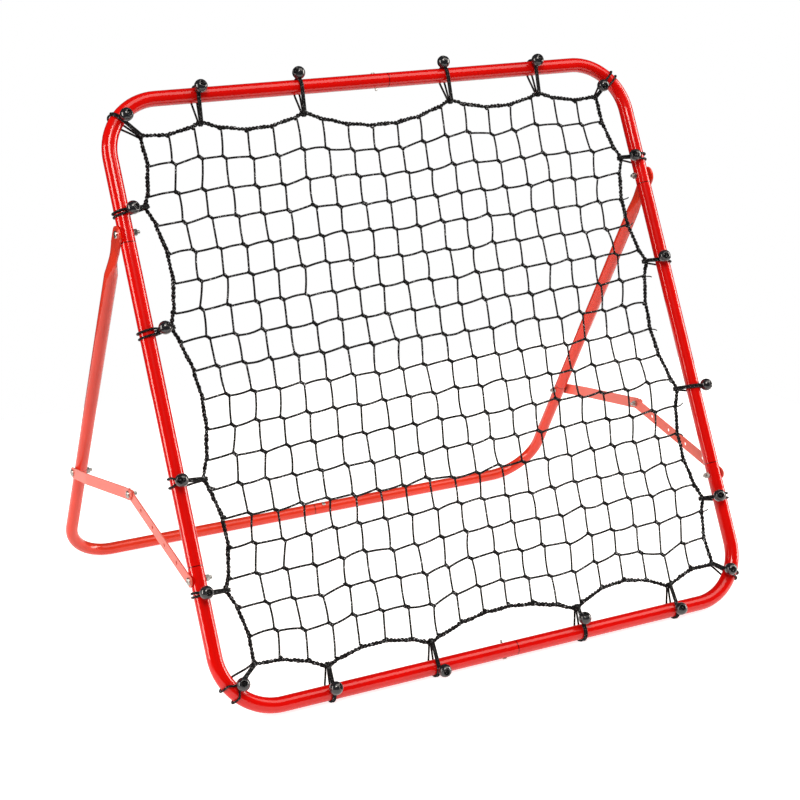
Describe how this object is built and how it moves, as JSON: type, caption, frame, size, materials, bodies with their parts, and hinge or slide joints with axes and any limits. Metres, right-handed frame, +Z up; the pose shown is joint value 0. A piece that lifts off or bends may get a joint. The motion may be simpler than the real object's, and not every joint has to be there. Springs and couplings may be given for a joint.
{
  "type": "pitch back rebounder",
  "caption": "Leaning square tube frame with a ball-tied rebound net, and a folding rear stand held open by drilled side straps.",
  "frame": {"origin": "on the floor, at the middle of the box around the whole part, in its open working pose", "axes": "+Z up, +Y from the net's playing side towards the rear stand, +X to the right of a player who faces the net"},
  "size_m": [1.0394, 0.8055, 0.9344],
  "materials": {
    "red_frame_tube": "gloss powder coat",
    "red_stand_tube": "gloss powder coat",
    "red_strap": "semi-gloss powder coat",
    "zinc_steel": "bright zinc plate",
    "net_twine": "twisted and knotted twine",
    "border_rope": "twisted double twine",
    "elastic_cord": "braided elastic cord",
    "black_ball": "gloss"
  },
  "bodies": {
    "front_frame": {"bottom_rail_screw": "zinc_steel", "bottom_tube_left": "red_frame_tube", "bottom_tube_right": "red_frame_tube", "front_brace_bolt_left": "zinc_steel", "front_brace_bolt_right": "zinc_steel", "front_brace_nut_left": "zinc_steel", "front_brace_nut_right": "zinc_steel", "net_border_rope": "border_rope", "net_mesh": "net_twine", "pivot_bolt_left": "zinc_steel", "pivot_bolt_right": "zinc_steel", "pivot_nut_left": "zinc_steel", "pivot_nut_right": "zinc_steel", "side_tube_left": "red_frame_tube", "side_tube_right": "red_frame_tube", "tie_balls_bottom": "black_ball", "tie_balls_corner": "black_ball", "tie_balls_left": "black_ball", "tie_balls_right": "black_ball", "tie_balls_top": "black_ball", "tie_cords_bottom": "elastic_cord", "tie_cords_corner": "elastic_cord", "tie_cords_left": "elastic_cord", "tie_cords_right": "elastic_cord", "tie_cords_top": "elastic_cord", "top_rail_screw": "zinc_steel", "top_tube_left": "red_frame_tube", "top_tube_right": "red_frame_tube"},
    "rear_stand": {"leg_brace_bolt_left": "zinc_steel", "leg_brace_bolt_right": "zinc_steel", "leg_brace_nut_left": "zinc_steel", "leg_brace_nut_right": "zinc_steel", "leg_brace_washer_left": "zinc_steel", "leg_brace_washer_right": "zinc_steel", "rear_rail_screw": "zinc_steel", "stand_leg_left": "red_stand_tube", "stand_leg_right": "red_stand_tube", "stand_rail_left": "red_stand_tube", "stand_rail_right": "red_stand_tube"},
    "long_brace_left": {"long_strap_left": "red_strap", "middle_nut_left": "zinc_steel"},
    "long_brace_right": {"long_strap_right": "red_strap", "middle_nut_right": "zinc_steel"},
    "short_brace_left": {"middle_bolt_left": "zinc_steel", "short_strap_left": "red_strap"},
    "short_brace_right": {"middle_bolt_right": "zinc_steel", "short_strap_right": "red_strap"}
  },
  "joints": [
    {"name": "stand_fold", "type": "hinge", "parent": "front_frame", "child": "rear_stand", "pos_m": [0, -0.02152, 0.70361], "axis": [-1, 0, 0], "range_deg": [0, 32]},
    {"name": "long_brace_left_swing", "type": "hinge", "parent": "front_frame", "child": "long_brace_left", "pos_m": [-0.5014, -0.26871, 0.20782], "axis": [1, 0, 0], "range_deg": [0, 36.8]},
    {"name": "long_brace_right_swing", "type": "hinge", "parent": "front_frame", "child": "long_brace_right", "pos_m": [0.5014, -0.26871, 0.20782], "axis": [1, 0, 0], "range_deg": [0, 36.8]},
    {"name": "short_brace_left_swing", "type": "hinge", "parent": "rear_stand", "child": "short_brace_left", "pos_m": [-0.5156, 0.2675, 0.21929], "axis": [-1, 0, 0], "range_deg": [0, 37.2]},
    {"name": "short_brace_right_swing", "type": "hinge", "parent": "rear_stand", "child": "short_brace_right", "pos_m": [0.5156, 0.2675, 0.21929], "axis": [-1, 0, 0], "range_deg": [0, 37.2]}
  ],
  "couplings": [
    {"joint": "long_brace_left_swing", "follows": "stand_fold", "ratio": 1.1345},
    {"joint": "long_brace_right_swing", "follows": "stand_fold", "ratio": 1.1345},
    {"joint": "short_brace_left_swing", "follows": "stand_fold", "ratio": 1.1477},
    {"joint": "short_brace_right_swing", "follows": "stand_fold", "ratio": 1.1477}
  ]
}
